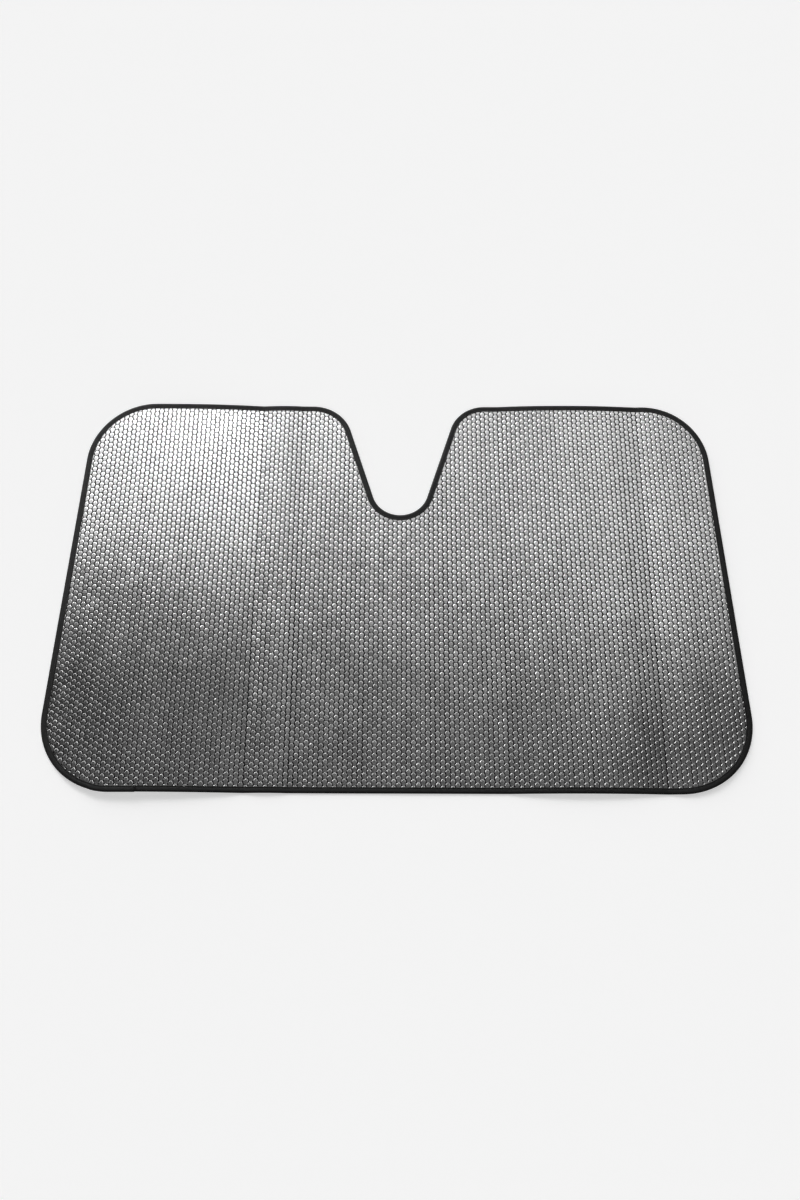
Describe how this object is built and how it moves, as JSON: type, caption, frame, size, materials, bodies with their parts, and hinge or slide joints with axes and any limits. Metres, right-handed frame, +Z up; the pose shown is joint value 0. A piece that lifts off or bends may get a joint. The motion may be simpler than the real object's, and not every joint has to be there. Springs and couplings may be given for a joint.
{
  "type": "windscreen sunshade",
  "caption": "Silver bubble-foil windscreen sunshade with rounded corners, a bell-shaped mirror notch in its top edge and a black tape binding, lying open on its back.",
  "frame": {"origin": "on the floor that the shade lies on, below the middle of its outline", "axes": "+X along the width, +Y towards the edge with the mirror notch, +Z up from the floor, out of the bubble side"},
  "size_m": [1.2998, 0.8, 0.0135],
  "materials": {
    "bubble_foil": "aluminised plastic film, glossy, over bubbles",
    "binding_tape": "matt black woven tape"
  },
  "bodies": {
    "root": {"foil_panel": "bubble_foil", "edge_binding": "binding_tape"}
  },
  "joints": []
}
